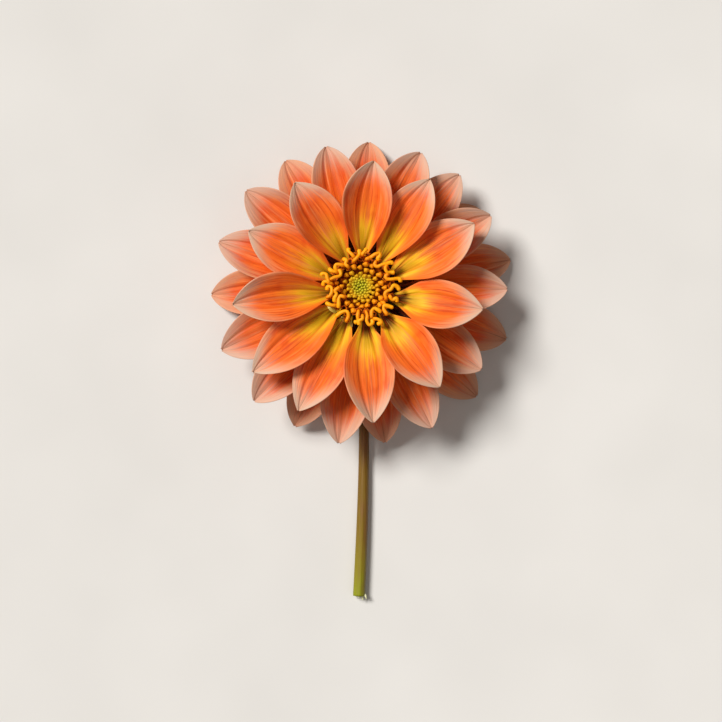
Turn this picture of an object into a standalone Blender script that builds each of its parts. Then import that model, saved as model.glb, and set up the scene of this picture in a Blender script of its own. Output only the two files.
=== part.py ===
"""A cut dahlia flower, lying on its back on a flat surface with its face up.

Blender 4.5 script, metres, +Z up. The flower is made round its head: three whorls of ray petals,
three rings of disc florets, two rings of green bracts underneath, and one stem whose top swells into
the receptacle that carries them all. The neck bends under the head and the stem lies along -Y.
Bearings are degrees clockwise from +Y, as seen by someone looking down on the flower.
"""

import math
from collections import namedtuple

import bmesh
import bpy
from mathutils import Matrix, Vector

MM = 0.001

# The head: where it sits above the surface and how its axis leans.
HEAD_HEIGHT = 17 * MM
HEAD_TILT = math.radians(4)

# The receptacle, the swollen top of the stem. Heights are along the head's axis.
RECEPTACLE_RADIUS = 8.3 * MM
RECEPTACLE_TOP = 0.9 * MM
RECEPTACLE_FOOT = -5.6 * MM
DOME_RISE = 2.2 * MM
NECK_HEIGHT = -8.6 * MM

# The stem, from its neck to its cut end.
NECK_RADIUS = 1.5 * MM
CUT_RADIUS = 2.15 * MM
CUT_END_Y = -104.5 * MM
STEM_BOW = 1.3 * MM
CUT_END_X = -0.7 * MM
NECK_BEND_STEPS = 6
STEM_STEPS = 9

# Petals are joined to the receptacle just outside its side.
ATTACH_RADIUS = RECEPTACLE_RADIUS + 0.6 * MM
PETAL_THICKNESS = 0.7 * MM
CLAW_HALF_WIDTH = 1.2 * MM
CURL_WIDTH = 8.1 * MM
STEP_HEIGHT = 0.5 * MM
PETAL_ROWS = 9
PETAL_COLUMNS = 4
TIP_CROWDING = 1.35

# Height of the base on the axis, the slopes of a petal's midline at its base and at its tip, and
# where along its length it is widest.
Whorl = namedtuple("Whorl", "name base_height base_slope tip_slope widest petals")

# One petal: bearing and reach of its tip from the head's axis, bearing of its base, height of its tip
# above the surface, its step up or down beside its neighbours, then for the edge on its left and for
# the one on its right, looking out from the head, how wide the petal is on that side and how far
# the edge curls up. An edge that lies under a neighbour curls less. Lengths are in millimetres.
Petal = namedtuple(
    "Petal", "tip_bearing reach base_bearing tip_height step left_width left_rise right_width right_rise"
)

INNER = Whorl("inner", 0.7 * MM, 38, 2, 0.58, [
    Petal(6, 40.2, 1, 27.5, 1, 8.4, 4.2, 7.6, 4.2),
    Petal(33.5, 41.0, 38, 26.5, 0, 7.8, 1.4, 7.8, 4.2),
    Petal(62, 42.0, 74, 26.5, -1, 8.0, 0.8, 9.2, 3.8),
    Petal(102, 40.7, 113, 28.5, 0, 7.4, 1.4, 8.8, 3.4),
    Petal(143, 42.7, 143, 30.0, 1, 7.8, 4.4, 8.2, 4.2),
    Petal(175, 45.8, 172, 31.0, 0, 8.2, 1.4, 8.2, 4.0),
    Petal(206.2, 46.4, 202, 28.5, -1, 8.2, 3.0, 8.2, 0.6),
    Petal(230.5, 45.8, 228, 29.0, 0, 8.4, 4.0, 8.0, 1.6),
    Petal(260.3, 42.5, 255.5, 30.5, 1, 8.0, 4.0, 8.0, 4.0),
    Petal(295.3, 40.8, 287.5, 25.5, -1, 8.2, 1.6, 8.2, 1.4),
    Petal(326.7, 39.6, 329.5, 26.5, 0, 8.0, 4.0, 8.0, 2.4),
])

MIDDLE = Whorl("middle", -1.9 * MM, 12, -10, 0.64, [
    Petal(24, 49.0, 16, 15.5, 1, 8.0, 3.4, 8.0, 3.4),
    Petal(41, 50.5, 43, 11.0, -1, 8.0, 1.0, 8.0, 1.0),
    Petal(61.2, 49.4, 69, 15.5, 1, 8.0, 3.4, 8.0, 3.2),
    Petal(90.8, 48.8, 97, 15.5, 0, 8.0, 1.2, 8.0, 3.2),
    Petal(124.4, 48.5, 125, 17.0, 0, 8.0, 2.0, 8.0, 3.2),
    Petal(153.3, 52.5, 154, 18.0, -1, 8.2, 1.0, 8.4, 3.2),
    Petal(188, 52.5, 187, 18.5, 0, 8.2, 3.2, 8.2, 3.2),
    Petal(223, 52.0, 217, 18.5, 1, 8.0, 3.2, 8.0, 3.4),
    Petal(246, 51.0, 248, 14.5, -1, 8.8, 1.0, 8.0, 3.0),
    Petal(288, 50.0, 283, 13.0, -1, 8.0, 3.0, 8.0, 1.0),
    Petal(310, 50.0, 315, 15.5, 1, 8.6, 3.4, 7.3, 3.2),
    Petal(346, 48.5, 347, 14.0, 0, 7.8, 3.2, 7.8, 3.2),
])

BACK = Whorl("back", -4.5 * MM, -4, -26, 0.65, [
    Petal(3, 51.0, 3, 0.5, 0, 7.8, 2.6, 7.8, 2.6),
    Petal(56, 49.5, 48, 0.5, -1, 7.6, 2.6, 7.6, 0.8),
    Petal(78, 52.0, 81, 1.5, 1, 7.6, 2.6, 7.6, 2.6),
    Petal(108, 52.0, 111, 1.5, 0, 7.8, 1.4, 8.6, 2.6),
    Petal(132, 53.0, 139, 0.8, -1, 7.5, 0.8, 8.4, 2.6),
    Petal(171, 52.0, 171, 6.5, 0, 7.8, 2.6, 7.8, 2.6),
    Petal(206, 51.0, 206, 5.0, 0, 7.8, 2.6, 7.8, 2.6),
    Petal(269, 51.0, 266, 0.5, 0, 7.8, 2.6, 7.8, 2.6),
    Petal(330, 51.5, 328, 0.5, 0, 7.8, 2.6, 7.8, 2.6),
])

# A ring of bracts: where they join the receptacle, where their tips are, their width and thickness,
# and how far their edges curl up. Heights are along the head's axis. Lengths are in millimetres.
Bracts = namedtuple(
    "Bracts", "name count first_bearing join_radius join_height reach tip_height half_width thickness rise"
)
INNER_BRACTS = Bracts("inner_bract", 8, 22.5, 8.2, -6.6, 22, -11, 3.9, 0.6, 0.8)
OUTER_BRACTS = Bracts("outer_bract", 5, 0, 5.7, -8.4, 16, -13.6, 2.7, 1, 0.7)
BRACT_SLOPES = (-8, -40)
BRACT_CLAW = 0.45
BRACT_WIDEST = 0.5
BRACT_ROWS = 5
BRACT_COLUMNS = 2

# The disc: how many florets each ring has, the outer radius of each ring's bed, which is its florets'
# packed tubes, and the heights along the head's axis. The florets lean out on their way up.
GOLDEN_ANGLE = math.radians(137.508)
GREEN_COUNT = 46
GREEN_ZONE = 4.1 * MM
GREEN_BUD_RADIUS = 0.45 * MM
CLOSED_COUNT = 28
CLOSED_ZONE = 7.3 * MM
CLOSED_BUD_RADIUS = 0.65 * MM
OPEN_COUNT = 17
OPEN_ZONE = 9.4 * MM
OPEN_REACH = 11.4 * MM
TUBE_RADIUS = 0.8 * MM
ARM_RADIUS = 0.5 * MM
ARM_SPREAD = 0.13
FLORET_FOOT = 3.45 * MM
BED_TOP = 5.9 * MM
BUD_SINK = 1.0 * MM
GREEN_TOP = 6.8 * MM
CLOSED_TOP = 7.4 * MM
OPEN_TOP = 9.8 * MM
BED_LEAN = 0.78
BUD_LEAN = 0.93
RING_GAP = 0.35 * MM
BUD_SIDES = 6


def clear_scene():
    for obj in list(bpy.data.objects):
        bpy.data.objects.remove(obj)


def collection(name):
    made = bpy.data.collections.new(name)
    bpy.context.scene.collection.children.link(made)
    return made


def material(name, colour, roughness):
    made = bpy.data.materials.new(name)
    made.use_nodes = True
    shader = made.node_tree.nodes["Principled BSDF"]
    shader.inputs["Base Color"].default_value = (*colour, 1)
    shader.inputs["Roughness"].default_value = roughness
    shader.inputs["Metallic"].default_value = 0
    return made


def empty(name, parent=None):
    made = bpy.data.objects.new(name, None)
    flower.objects.link(made)
    made.parent = parent
    return made


def add(name, data, look, parent, into=None):
    made = bpy.data.objects.new(name, data)
    (into or flower).objects.link(made)
    made.parent = parent
    if look:
        data.materials.append(look)
    return made


def mesh_from(bm, name):
    mesh = bpy.data.meshes.new(name)
    bm.to_mesh(mesh)
    bm.free()
    mesh.shade_smooth()
    mesh.set_sharp_from_angle(angle=math.radians(50))
    return mesh


def direction(bearing):
    """Unit vector along a bearing in the head's plane, in the head's own axes."""
    angle = math.radians(bearing)
    return Vector((math.sin(angle), math.cos(angle), 0))


def along_axis(height_above_surface, place):
    """Height along the head's axis of a point at this place in the head's plane, from its height
    above the surface."""
    lean = place.y * math.sin(HEAD_TILT)
    return (height_above_surface - HEAD_HEIGHT + lean) / math.cos(HEAD_TILT)


# Petals and bracts -------------------------------------------------------------------------------


def midline(share, length, rise, base_slope, tip_slope):
    """(distance out, height) on a blade's midline: a cubic Bezier with a slope at each end."""
    reach = 0.4 * length
    near, far = math.radians(base_slope), math.radians(tip_slope)
    points = (
        (0, 0),
        (reach * math.cos(near), reach * math.sin(near)),
        (length - reach * math.cos(far), rise - reach * math.sin(far)),
        (length, rise),
    )
    back = 1 - share
    weights = (back**3, 3 * back**2 * share, 3 * back * share**2, share**3)
    return tuple(sum(w * p[k] for w, p in zip(weights, points)) for k in (0, 1))


def outline(share, widest, half_width, claw):
    """Half the blade's width: a narrow claw at the base, an arched point at the tip."""
    power = 1.9 * (1 - widest)
    swell = power * widest / (1 - widest)
    peak = widest**swell * (1 - widest) ** power
    blade = half_width * share**swell * (1 - share) ** power / peak
    return math.hypot(blade, claw * math.sqrt(1 - share))


def blade_mesh(name, rows, columns, place):
    """A grid whose points are put by place(share along, share across from -1 to 1). Its rows crowd
    towards the tip, and the last one closes on it."""
    bm = bmesh.new()
    bmesh.ops.create_grid(bm, x_segments=columns, y_segments=rows, size=0.5)
    for vert in bm.verts:
        vert.co = place(1 - (0.5 - vert.co.y) ** TIP_CROWDING, 2 * vert.co.x)
    bmesh.ops.remove_doubles(bm, verts=bm.verts, dist=0.01 * MM)
    return mesh_from(bm, name)


def thicken(obj, thickness):
    solidify = obj.modifiers.new("thickness", "SOLIDIFY")
    solidify.thickness = thickness
    solidify.offset = 0


def add_petal(name, petal, whorl):
    step = petal.step * STEP_HEIGHT
    base = direction(petal.base_bearing) * ATTACH_RADIUS
    base.z = whorl.base_height + step
    tip = direction(petal.tip_bearing) * petal.reach * MM
    tip.z = along_axis(petal.tip_height * MM, tip)
    run = tip - base
    length, rise = math.hypot(run.x, run.y), run.z

    def place(share, across):
        out, up = midline(share, length, rise, whorl.base_slope, whorl.tip_slope)
        half_width = petal.right_width if across > 0 else petal.left_width
        edge_rise = petal.right_rise if across > 0 else petal.left_rise
        width = outline(share, whorl.widest, half_width * MM, CLAW_HALF_WIDTH)
        fold = 1.9 - 0.6 * share
        curl = edge_rise * MM * width / CURL_WIDTH * abs(across) ** fold
        return Vector((across * width, out, up + curl))

    obj = add(name, blade_mesh(name, PETAL_ROWS, PETAL_COLUMNS, place), petal_look, head)
    obj.location = base
    obj.rotation_euler.z = -math.atan2(run.x, run.y)
    thicken(obj, PETAL_THICKNESS)


def add_whorl(whorl):
    for number, petal in enumerate(whorl.petals, 1):
        add_petal(f"{whorl.name}_petal_{number:02d}", petal, whorl)


def add_bracts(ring, look):
    length = (ring.reach - ring.join_radius) * MM
    rise = (ring.tip_height - ring.join_height) * MM
    half_width = ring.half_width * MM

    def place(share, across):
        out, up = midline(share, length, rise, *BRACT_SLOPES)
        width = outline(share, BRACT_WIDEST, half_width, BRACT_CLAW * half_width)
        curl = ring.rise * MM * across**2 * width / half_width
        return Vector((across * width, out, up + curl))

    mesh = blade_mesh(ring.name, BRACT_ROWS, BRACT_COLUMNS, place)
    mesh.materials.append(look)
    for number in range(ring.count):
        bearing = ring.first_bearing + 360 * number / ring.count
        obj = add(f"{ring.name}_{number + 1}", mesh, None, head)
        obj.location = direction(bearing) * ring.join_radius * MM
        obj.location.z = ring.join_height * MM
        obj.rotation_euler.z = -math.radians(bearing)
        thicken(obj, ring.thickness * MM)


# The stem and the receptacle ---------------------------------------------------------------------


def on_axis(height):
    """The point at this height on the head's axis."""
    lean = Matrix.Rotation(-HEAD_TILT, 3, "X")
    return Vector((0, 0, HEAD_HEIGHT)) + lean @ Vector((0, 0, height))


def receptacle_points():
    """(point, radius) up the head's axis: the neck flares into a drum with a domed top."""
    foot, top = RECEPTACLE_FOOT, RECEPTACLE_TOP
    flare = foot - NECK_HEIGHT
    stations = (
        (NECK_HEIGHT, NECK_RADIUS / RECEPTACLE_RADIUS),
        (NECK_HEIGHT + 0.35 * flare, 0.27),
        (NECK_HEIGHT + 0.65 * flare, 0.58),
        (foot, 0.90),
        (foot + 0.5 * flare, 1),
        (top, 1),
        (top + 0.55 * DOME_RISE, 0.84),
        (top + 0.9 * DOME_RISE, 0.5),
        (top + DOME_RISE, 0.15),
    )
    return [(on_axis(height), share * RECEPTACLE_RADIUS) for height, share in stations]


def stem_points():
    """(point, radius) from the cut end, along the surface and up round the neck."""
    neck = on_axis(NECK_HEIGHT)
    bend = (neck.z - NECK_RADIUS) / (1 - math.sin(HEAD_TILT))
    centre_y = neck.y - bend * math.cos(HEAD_TILT)
    points = []
    for step in range(STEM_STEPS + 1):
        share = step / STEM_STEPS
        y = CUT_END_Y + share * (centre_y - CUT_END_Y)
        radius = CUT_RADIUS + share * (NECK_RADIUS - CUT_RADIUS)
        x = CUT_END_X * (1 - share) + STEM_BOW * math.sin(math.pi * share)
        points.append((Vector((x, y, radius)), radius))
    for step in range(1, NECK_BEND_STEPS):
        angle = (math.pi / 2 - HEAD_TILT) * step / NECK_BEND_STEPS
        y = centre_y + bend * math.sin(angle)
        z = NECK_RADIUS + bend * (1 - math.cos(angle))
        points.append((Vector((0, y, z)), NECK_RADIUS))
    return points


def add_stem():
    curve = bpy.data.curves.new("stem", "CURVE")
    curve.dimensions = "3D"
    curve.bevel_depth = 1
    curve.bevel_resolution = 4
    curve.use_fill_caps = True
    route = stem_points() + receptacle_points()
    spline = curve.splines.new("POLY")
    spline.points.add(len(route) - 1)
    for target, (point, radius) in zip(spline.points, route):
        target.co = (*point, 1)
        target.radius = radius
    add("stem", curve, stem_look, root)


# The disc florets --------------------------------------------------------------------------------


def spiral(first, count, zone_start, zone_end):
    """Places on a sunflower spiral that fill a ring evenly: (angle, radius) pairs."""
    for number in range(count):
        share = (number + 0.5) / count
        radius = math.sqrt(zone_start**2 + share * (zone_end**2 - zone_start**2))
        yield (first + number) * GOLDEN_ANGLE, radius


def polar(angle, radius, height):
    return Vector((radius * math.sin(angle), radius * math.cos(angle), height))


def add_bed(name, inside, outside, look):
    """The packed tubes of one ring of florets: a turned ring that widens as it rises. One that starts
    at the axis is a plain drum."""
    corners = [(inside, BED_TOP), (outside, BED_TOP)]
    corners += [(outside * BED_LEAN, FLORET_FOOT), (inside * BED_LEAN, FLORET_FOOT)]
    bm = bmesh.new()
    verts = [bm.verts.new((x, 0, z)) for x, z in corners]
    for number in range(3):
        bm.edges.new((verts[number], verts[number + 1]))
    if inside > 0:
        bm.edges.new((verts[3], verts[0]))
    bed = add(name, mesh_from(bm, name), look, head)
    screw = bed.modifiers.new("turn", "SCREW")
    screw.steps = screw.render_steps = 24
    screw.use_merge_vertices = True
    screw.merge_threshold = 0.0001
    return bed


def add_tube(bm, foot, top, foot_radius, top_radius):
    """A straight tapered tube between two points."""
    run = top - foot
    made = bmesh.ops.create_cone(
        bm, cap_ends=True, segments=BUD_SIDES, radius1=foot_radius, radius2=top_radius, depth=run.length
    )
    turn = run.to_track_quat("Z", "Y").to_matrix().to_4x4()
    bmesh.ops.transform(bm, matrix=turn, verts=made["verts"])
    bmesh.ops.translate(bm, vec=(foot + top) / 2, verts=made["verts"])


def join_florets(bed, bm):
    """Joins these tubes to their bed by a Boolean union."""
    helper = add(bed.name + "_tubes", mesh_from(bm, bed.name + "_tubes"), None, head, cutters)
    helper.hide_render = True
    helper.display_type = "WIRE"
    union = bed.modifiers.new("florets", "BOOLEAN")
    union.operation = "UNION"
    union.use_self = True
    union.object = helper


def add_buds(bed, places, radius, top):
    bm = bmesh.new()
    for angle, out in places:
        foot = polar(angle, out * BUD_LEAN, BED_TOP - BUD_SINK)
        add_tube(bm, foot, polar(angle, out, top), radius, 0.5 * radius)
    join_florets(bed, bm)


def add_open_florets(bed):
    """Open florets lean out over the petals, each with a tube and two curled stigma arms."""
    bm = bmesh.new()
    foot_radius = OPEN_ZONE - TUBE_RADIUS
    for number in range(OPEN_COUNT):
        angle = 2 * math.pi * number / OPEN_COUNT
        foot = polar(angle, foot_radius, BED_TOP - BUD_SINK)
        mouth = polar(angle, OPEN_REACH, OPEN_TOP - 1.5 * MM)
        add_tube(bm, foot, mouth, TUBE_RADIUS, TUBE_RADIUS)
        for side in (-1, 1):
            start = polar(angle, OPEN_REACH - ARM_RADIUS, OPEN_TOP - 2 * MM)
            end = polar(angle + side * ARM_SPREAD, OPEN_REACH + 1.3 * MM, OPEN_TOP - ARM_RADIUS)
            add_tube(bm, start, end, ARM_RADIUS, ARM_RADIUS)
    join_florets(bed, bm)


def add_disc():
    green = add_bed("green_disc_florets", 0, GREEN_ZONE, green_look)
    places = spiral(0, GREEN_COUNT, 0, GREEN_ZONE - 1.5 * GREEN_BUD_RADIUS)
    add_buds(green, places, GREEN_BUD_RADIUS, GREEN_TOP)

    inside = GREEN_ZONE + RING_GAP
    closed = add_bed("closed_disc_florets", inside, CLOSED_ZONE, disc_look)
    margin = 1.3 * CLOSED_BUD_RADIUS
    places = spiral(GREEN_COUNT, CLOSED_COUNT, inside + margin, CLOSED_ZONE - margin)
    add_buds(closed, places, CLOSED_BUD_RADIUS, CLOSED_TOP)

    opened = add_bed("open_disc_florets", CLOSED_ZONE + RING_GAP, OPEN_ZONE, disc_look)
    add_open_florets(opened)


def centre_on_surface():
    """Moves the flower so that the origin is the middle of its box's underside."""
    bpy.context.view_layer.update()
    graph = bpy.context.evaluated_depsgraph_get()
    corners = []
    for obj in flower.objects:
        if obj.type == "EMPTY":
            continue
        evaluated = obj.evaluated_get(graph)
        mesh = evaluated.to_mesh()
        corners += [evaluated.matrix_world @ vert.co for vert in mesh.vertices]
        evaluated.to_mesh_clear()
    low = Vector(min(c[k] for c in corners) for k in range(3))
    high = Vector(max(c[k] for c in corners) for k in range(3))
    root.location = (-(low.x + high.x) / 2, -(low.y + high.y) / 2, -low.z)


clear_scene()
flower = collection("dahlia_flower")
cutters = collection("helpers")
petal_look = material("petal", (0.87, 0.22, 0.07), 0.45)
disc_look = material("disc_floret", (0.90, 0.42, 0.02), 0.5)
green_look = material("green_floret", (0.45, 0.42, 0.04), 0.5)
bract_look = material("bract", (0.16, 0.24, 0.06), 0.5)
stem_look = material("stem", (0.33, 0.24, 0.08), 0.5)

root = empty("flower_root")
head = empty("head_axis", root)
head.location.z = HEAD_HEIGHT
head.rotation_euler.x = -HEAD_TILT

add_stem()
for each in (INNER, MIDDLE, BACK):
    add_whorl(each)
add_bracts(INNER_BRACTS, bract_look)
add_bracts(OUTER_BRACTS, bract_look)
add_disc()
centre_on_surface()
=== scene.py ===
"""The looks of the cut dahlia: every petal, floret, bract and the stem, regrown finely round the CAD.

Blender 4.5 script, metres, +Z up. The CAD part says where everything is and how big it is. Each petal
is measured on its CAD node and grown again as a fine, grooved and veined blade. The disc is made of
single buds, tubes and curled stigma arms. "The head's own axes" have their origin on the axis of the
flower's head and +Z along it. Bearings are degrees clockwise from +Y, seen from above the flower.
"""

import random
from collections import namedtuple
from math import atan2, cos, hypot, pi, radians, sin, sqrt

import bpy
import numpy as np
from mathutils import Matrix, Vector


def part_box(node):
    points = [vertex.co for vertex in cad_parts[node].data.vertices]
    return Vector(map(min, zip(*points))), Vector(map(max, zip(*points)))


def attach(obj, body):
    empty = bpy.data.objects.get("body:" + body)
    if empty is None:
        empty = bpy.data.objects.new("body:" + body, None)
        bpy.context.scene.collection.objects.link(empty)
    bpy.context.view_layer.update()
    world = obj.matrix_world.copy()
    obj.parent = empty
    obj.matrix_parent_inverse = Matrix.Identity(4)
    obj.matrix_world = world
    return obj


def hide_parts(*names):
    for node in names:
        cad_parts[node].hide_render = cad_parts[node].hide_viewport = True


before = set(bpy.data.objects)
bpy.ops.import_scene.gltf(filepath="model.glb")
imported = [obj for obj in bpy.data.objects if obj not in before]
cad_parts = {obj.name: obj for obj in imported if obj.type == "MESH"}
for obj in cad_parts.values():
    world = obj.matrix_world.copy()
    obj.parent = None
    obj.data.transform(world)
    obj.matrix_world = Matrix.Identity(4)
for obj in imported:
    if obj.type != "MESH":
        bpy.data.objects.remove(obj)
bpy.context.view_layer.update()

MM = 0.001
BODY = "root"

# What the CAD part is made from.
HEAD_TILT = radians(4)
RECEPTACLE_RADIUS = 8.3 * MM
RECEPTACLE_TOP = 0.9 * MM
RECEPTACLE_FOOT = -5.6 * MM
DOME_RISE = 2.2 * MM
NECK_HEIGHT = -8.6 * MM
NECK_RADIUS = 1.5 * MM
CUT_RADIUS = 2.15 * MM
STEM_BOW = 1.3 * MM
CUT_END_X = -0.7 * MM
CLAW_HALF_WIDTH = 1.2 * MM
CURL_WIDTH = 8.1 * MM
FLORET_FOOT = 3.45 * MM
BED_TOP = 5.9 * MM
CAD_ROWS = 9
CAD_BASE_POINTS = 10
CAD_ROW_REACH = 1.2 * MM
TIP_CROWDING = 1.35

# A whorl of petals: its name, how many it has, the slopes of a petal's midline at base and tip, where
# a petal is widest, and the look of its face.
Whorl = namedtuple("Whorl", "name count base_slope tip_slope widest look")
WHORLS = (
    Whorl("inner", 11, 38, 2, 0.58, "yellow_throat"),
    Whorl("middle", 12, 12, -10, 0.64, "maroon_and_painted_shade_throat"),
    Whorl("back", 9, -4, -26, 0.65, "back_petal"),
)

# A petal as measured on its CAD node, in the head's own axes.
Petal = namedtuple("Petal", "base turn length rise left_width left_rise right_width right_rise")

# The grid that a petal is grown on, and its relief.
PETAL_ROWS = 64
PETAL_COLUMNS = 44
LAST_SHARE = 0.9985
PETAL_THICKNESS = 0.42 * MM
FULL_CLAW = 1.35 * MM
EDGE_THINNING = 0.45
FACE_LIFT = 0.12 * MM
GROOVE_PLACE = 0.34
GROOVE_WIDTH = 0.085
GROOVE_DEPTH = 0.52 * MM
KEEL_HEIGHT = 0.22 * MM
KEEL_WIDTH = 0.2
PLEAT_DEPTH = 0.045 * MM
PLEATS = 15
EDGE_WAVE = 0.3 * MM
FOLD_AT_BASE = 1.9
FOLD_AT_TIP = 1.12
DEEPER_FOLD = 1.22
TIP_CREASE = 0.5 * MM

# Petals on the far side of the disc from the light have a narrower claw, and a darker throat that is
# painted shade of the disc. Those on the near side fold more deeply, and have a paler throat that is
# painted light.
FAR_BEARING = radians(138)
CLAW_PINCH = 0.42
FAR_PAINTED_SHADE = 0.32
NEAR_FOLD = 0.3
NEAR_PAINTED_LIGHT = 0.09

# A ring of bracts: where they join the receptacle, where their tips are, their width and thickness,
# how far their edges curl up, and the dark and light green of their faces and of their backs. Heights
# are along the head's axis, in millimetres.
Bracts = namedtuple("Bracts", "name count first_bearing join_radius join_height reach tip_height "
                    "half_width thickness rise face back")
BRACT_RINGS = (
    Bracts("inner_bract", 8, 22.5, 8.2, -6.6, 22, -11, 3.9, 0.5, 0.8,
           ((0.16, 0.17, 0.03), (0.3, 0.28, 0.08)), ((0.13, 0.17, 0.03), (0.24, 0.27, 0.07))),
    Bracts("outer_bract", 5, 0, 5.7, -8.4, 16, -13.6, 2.7, 0.9, 0.7,
           ((0.09, 0.16, 0.03), (0.16, 0.25, 0.06)), ((0.08, 0.15, 0.03), (0.14, 0.23, 0.05))),
)
BRACT_SLOPES = (-8, -40)
BRACT_CLAW = 0.45
BRACT_WIDEST = 0.5
BRACT_ROWS = 36
BRACT_COLUMNS = 20

# The disc. Its beds are the florets' packed lower tubes, the dark ground between the florets, dark partly
# in the florets' own colour and partly as painted shade of the depth. The lists below are millimetres on
# the head's plane: the place and radius of each closed bud, and the line of each stigma arm from its tube
# to its free end, clockwise from the top.
GOLDEN_ANGLE = radians(137.508)
BED_FACE = BED_TOP - 0.4 * MM
BED_SIDES = 48
BUD_FOOT = BED_TOP - 1.4 * MM
BUD_SIDES = 15
BUD_PROFILE = (
    (0, 0.62), (0.38, 0.66), (0.54, 0.86), (0.66, 1), (0.76, 0.97),
    (0.84, 0.83), (0.91, 0.62), (0.96, 0.4), (0.99, 0.2), (1, 0.05),
)
GREEN_COUNT = 58
GREEN_BUD = 0.68 * MM
GREEN_TOP = 7.3 * MM
CLOSED_TOP = 8.1 * MM
CLOSED_REACH = 7.6 * MM
CLOSED_BUDS = (
    (-2.4, 6.6, 1.0), (-0.2, 6.5, 0.75), (1.8, 7.6, 0.95), (2.0, 5.5, 0.9), (4.0, 4.9, 0.85),
    (6.5, 3.9, 1.05), (5.0, 2.6, 0.8), (7.1, 1.1, 0.95), (8.3, -0.6, 0.85), (5.7, 0.2, 0.8),
    (5.9, -1.3, 0.8), (4.6, -0.6, 0.65), (4.3, -2.3, 0.7), (5.7, -2.7, 0.75), (7.0, -4.1, 0.95),
    (3.7, -3.8, 0.7), (4.8, -5.3, 0.9), (2.6, -5.0, 0.75), (0.9, -5.0, 0.85), (2.3, -6.6, 0.9),
    (0.5, -7.0, 0.85), (-0.8, -6.2, 0.65), (-1.8, -5.2, 0.75), (-3.1, -6.8, 0.85), (-2.5, -8.6, 0.95),
    (-4.6, -5.8, 0.95), (-3.9, -3.4, 0.8), (-2.0, -3.5, 0.75), (-5.7, -1.9, 0.85), (-3.1, -1.9, 0.65),
    (-4.2, -1.0, 0.65), (-6.5, 0.0, 0.75), (-4.0, 0.3, 0.7), (-5.3, 1.6, 0.75), (-3.3, 2.0, 0.75),
    (-4.9, 3.8, 0.75), (-3.0, 4.5, 0.85), (-1.3, 3.5, 0.7), (0.1, 4.4, 0.72), (1.5, 3.5, 0.72),
    (3.0, 3.4, 0.68), (3.2, 2.1, 0.68), (4.0, 1.3, 0.62), (-0.5, -4.3, 0.65), (1.9, -3.7, 0.7),
    (6.7, -6.6, 0.85), (-8.3, 1.1, 0.75), (-6.9, 5.6, 0.8), (3.9, 7.0, 0.75), (-6.4, -3.4, 0.7),
    (8.0, -5.9, 0.7),
)
ARM_RADIUS = 0.55 * MM
ARM_HEIGHT = 9.2 * MM
ARM_ARCH = 0.75 * MM
ARM_ROOT = 2.2 * MM
OPEN_BED = (7.7 * MM, 9.3 * MM)
TUBE_FOOT = BED_TOP - 1.6 * MM
TUBE_FOOT_ZONE = (8 * MM, 9 * MM)
TUBE_RADIUS = 0.78 * MM
TUBE_SIDES = 20
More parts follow.
